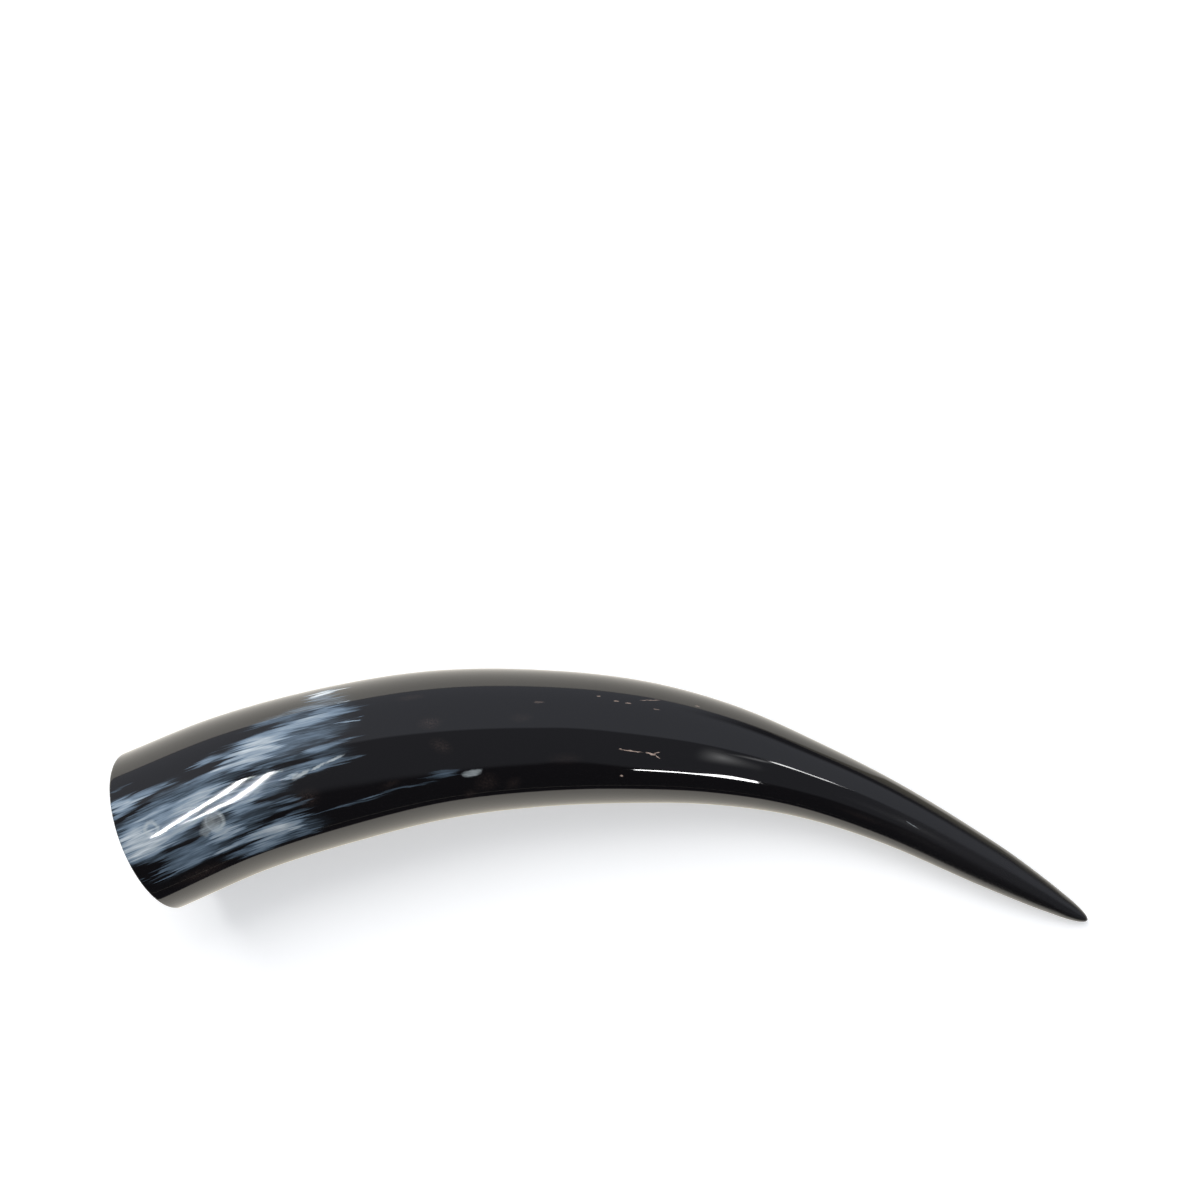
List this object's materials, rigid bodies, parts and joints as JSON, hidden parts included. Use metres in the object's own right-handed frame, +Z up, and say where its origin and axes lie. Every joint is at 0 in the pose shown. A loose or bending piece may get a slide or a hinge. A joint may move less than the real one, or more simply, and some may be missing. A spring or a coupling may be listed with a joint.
{
  "type": "cow horn",
  "caption": "Polished dark cow horn, one curved tapering sheath, hollow from its sawn base to about half its length, lying on its side.",
  "frame": {"origin": "middle of the footprint's box, on the surface that the horn lies on", "axes": "+X along the horn from the base to the tip, +Y across towards the outside of its bend, +Z up from the surface"},
  "size_m": [0.3956, 0.1038, 0.0626],
  "materials": {
    "polished_horn": "polished"
  },
  "bodies": {
    "root": {"horn": "polished_horn"}
  },
  "joints": []
}
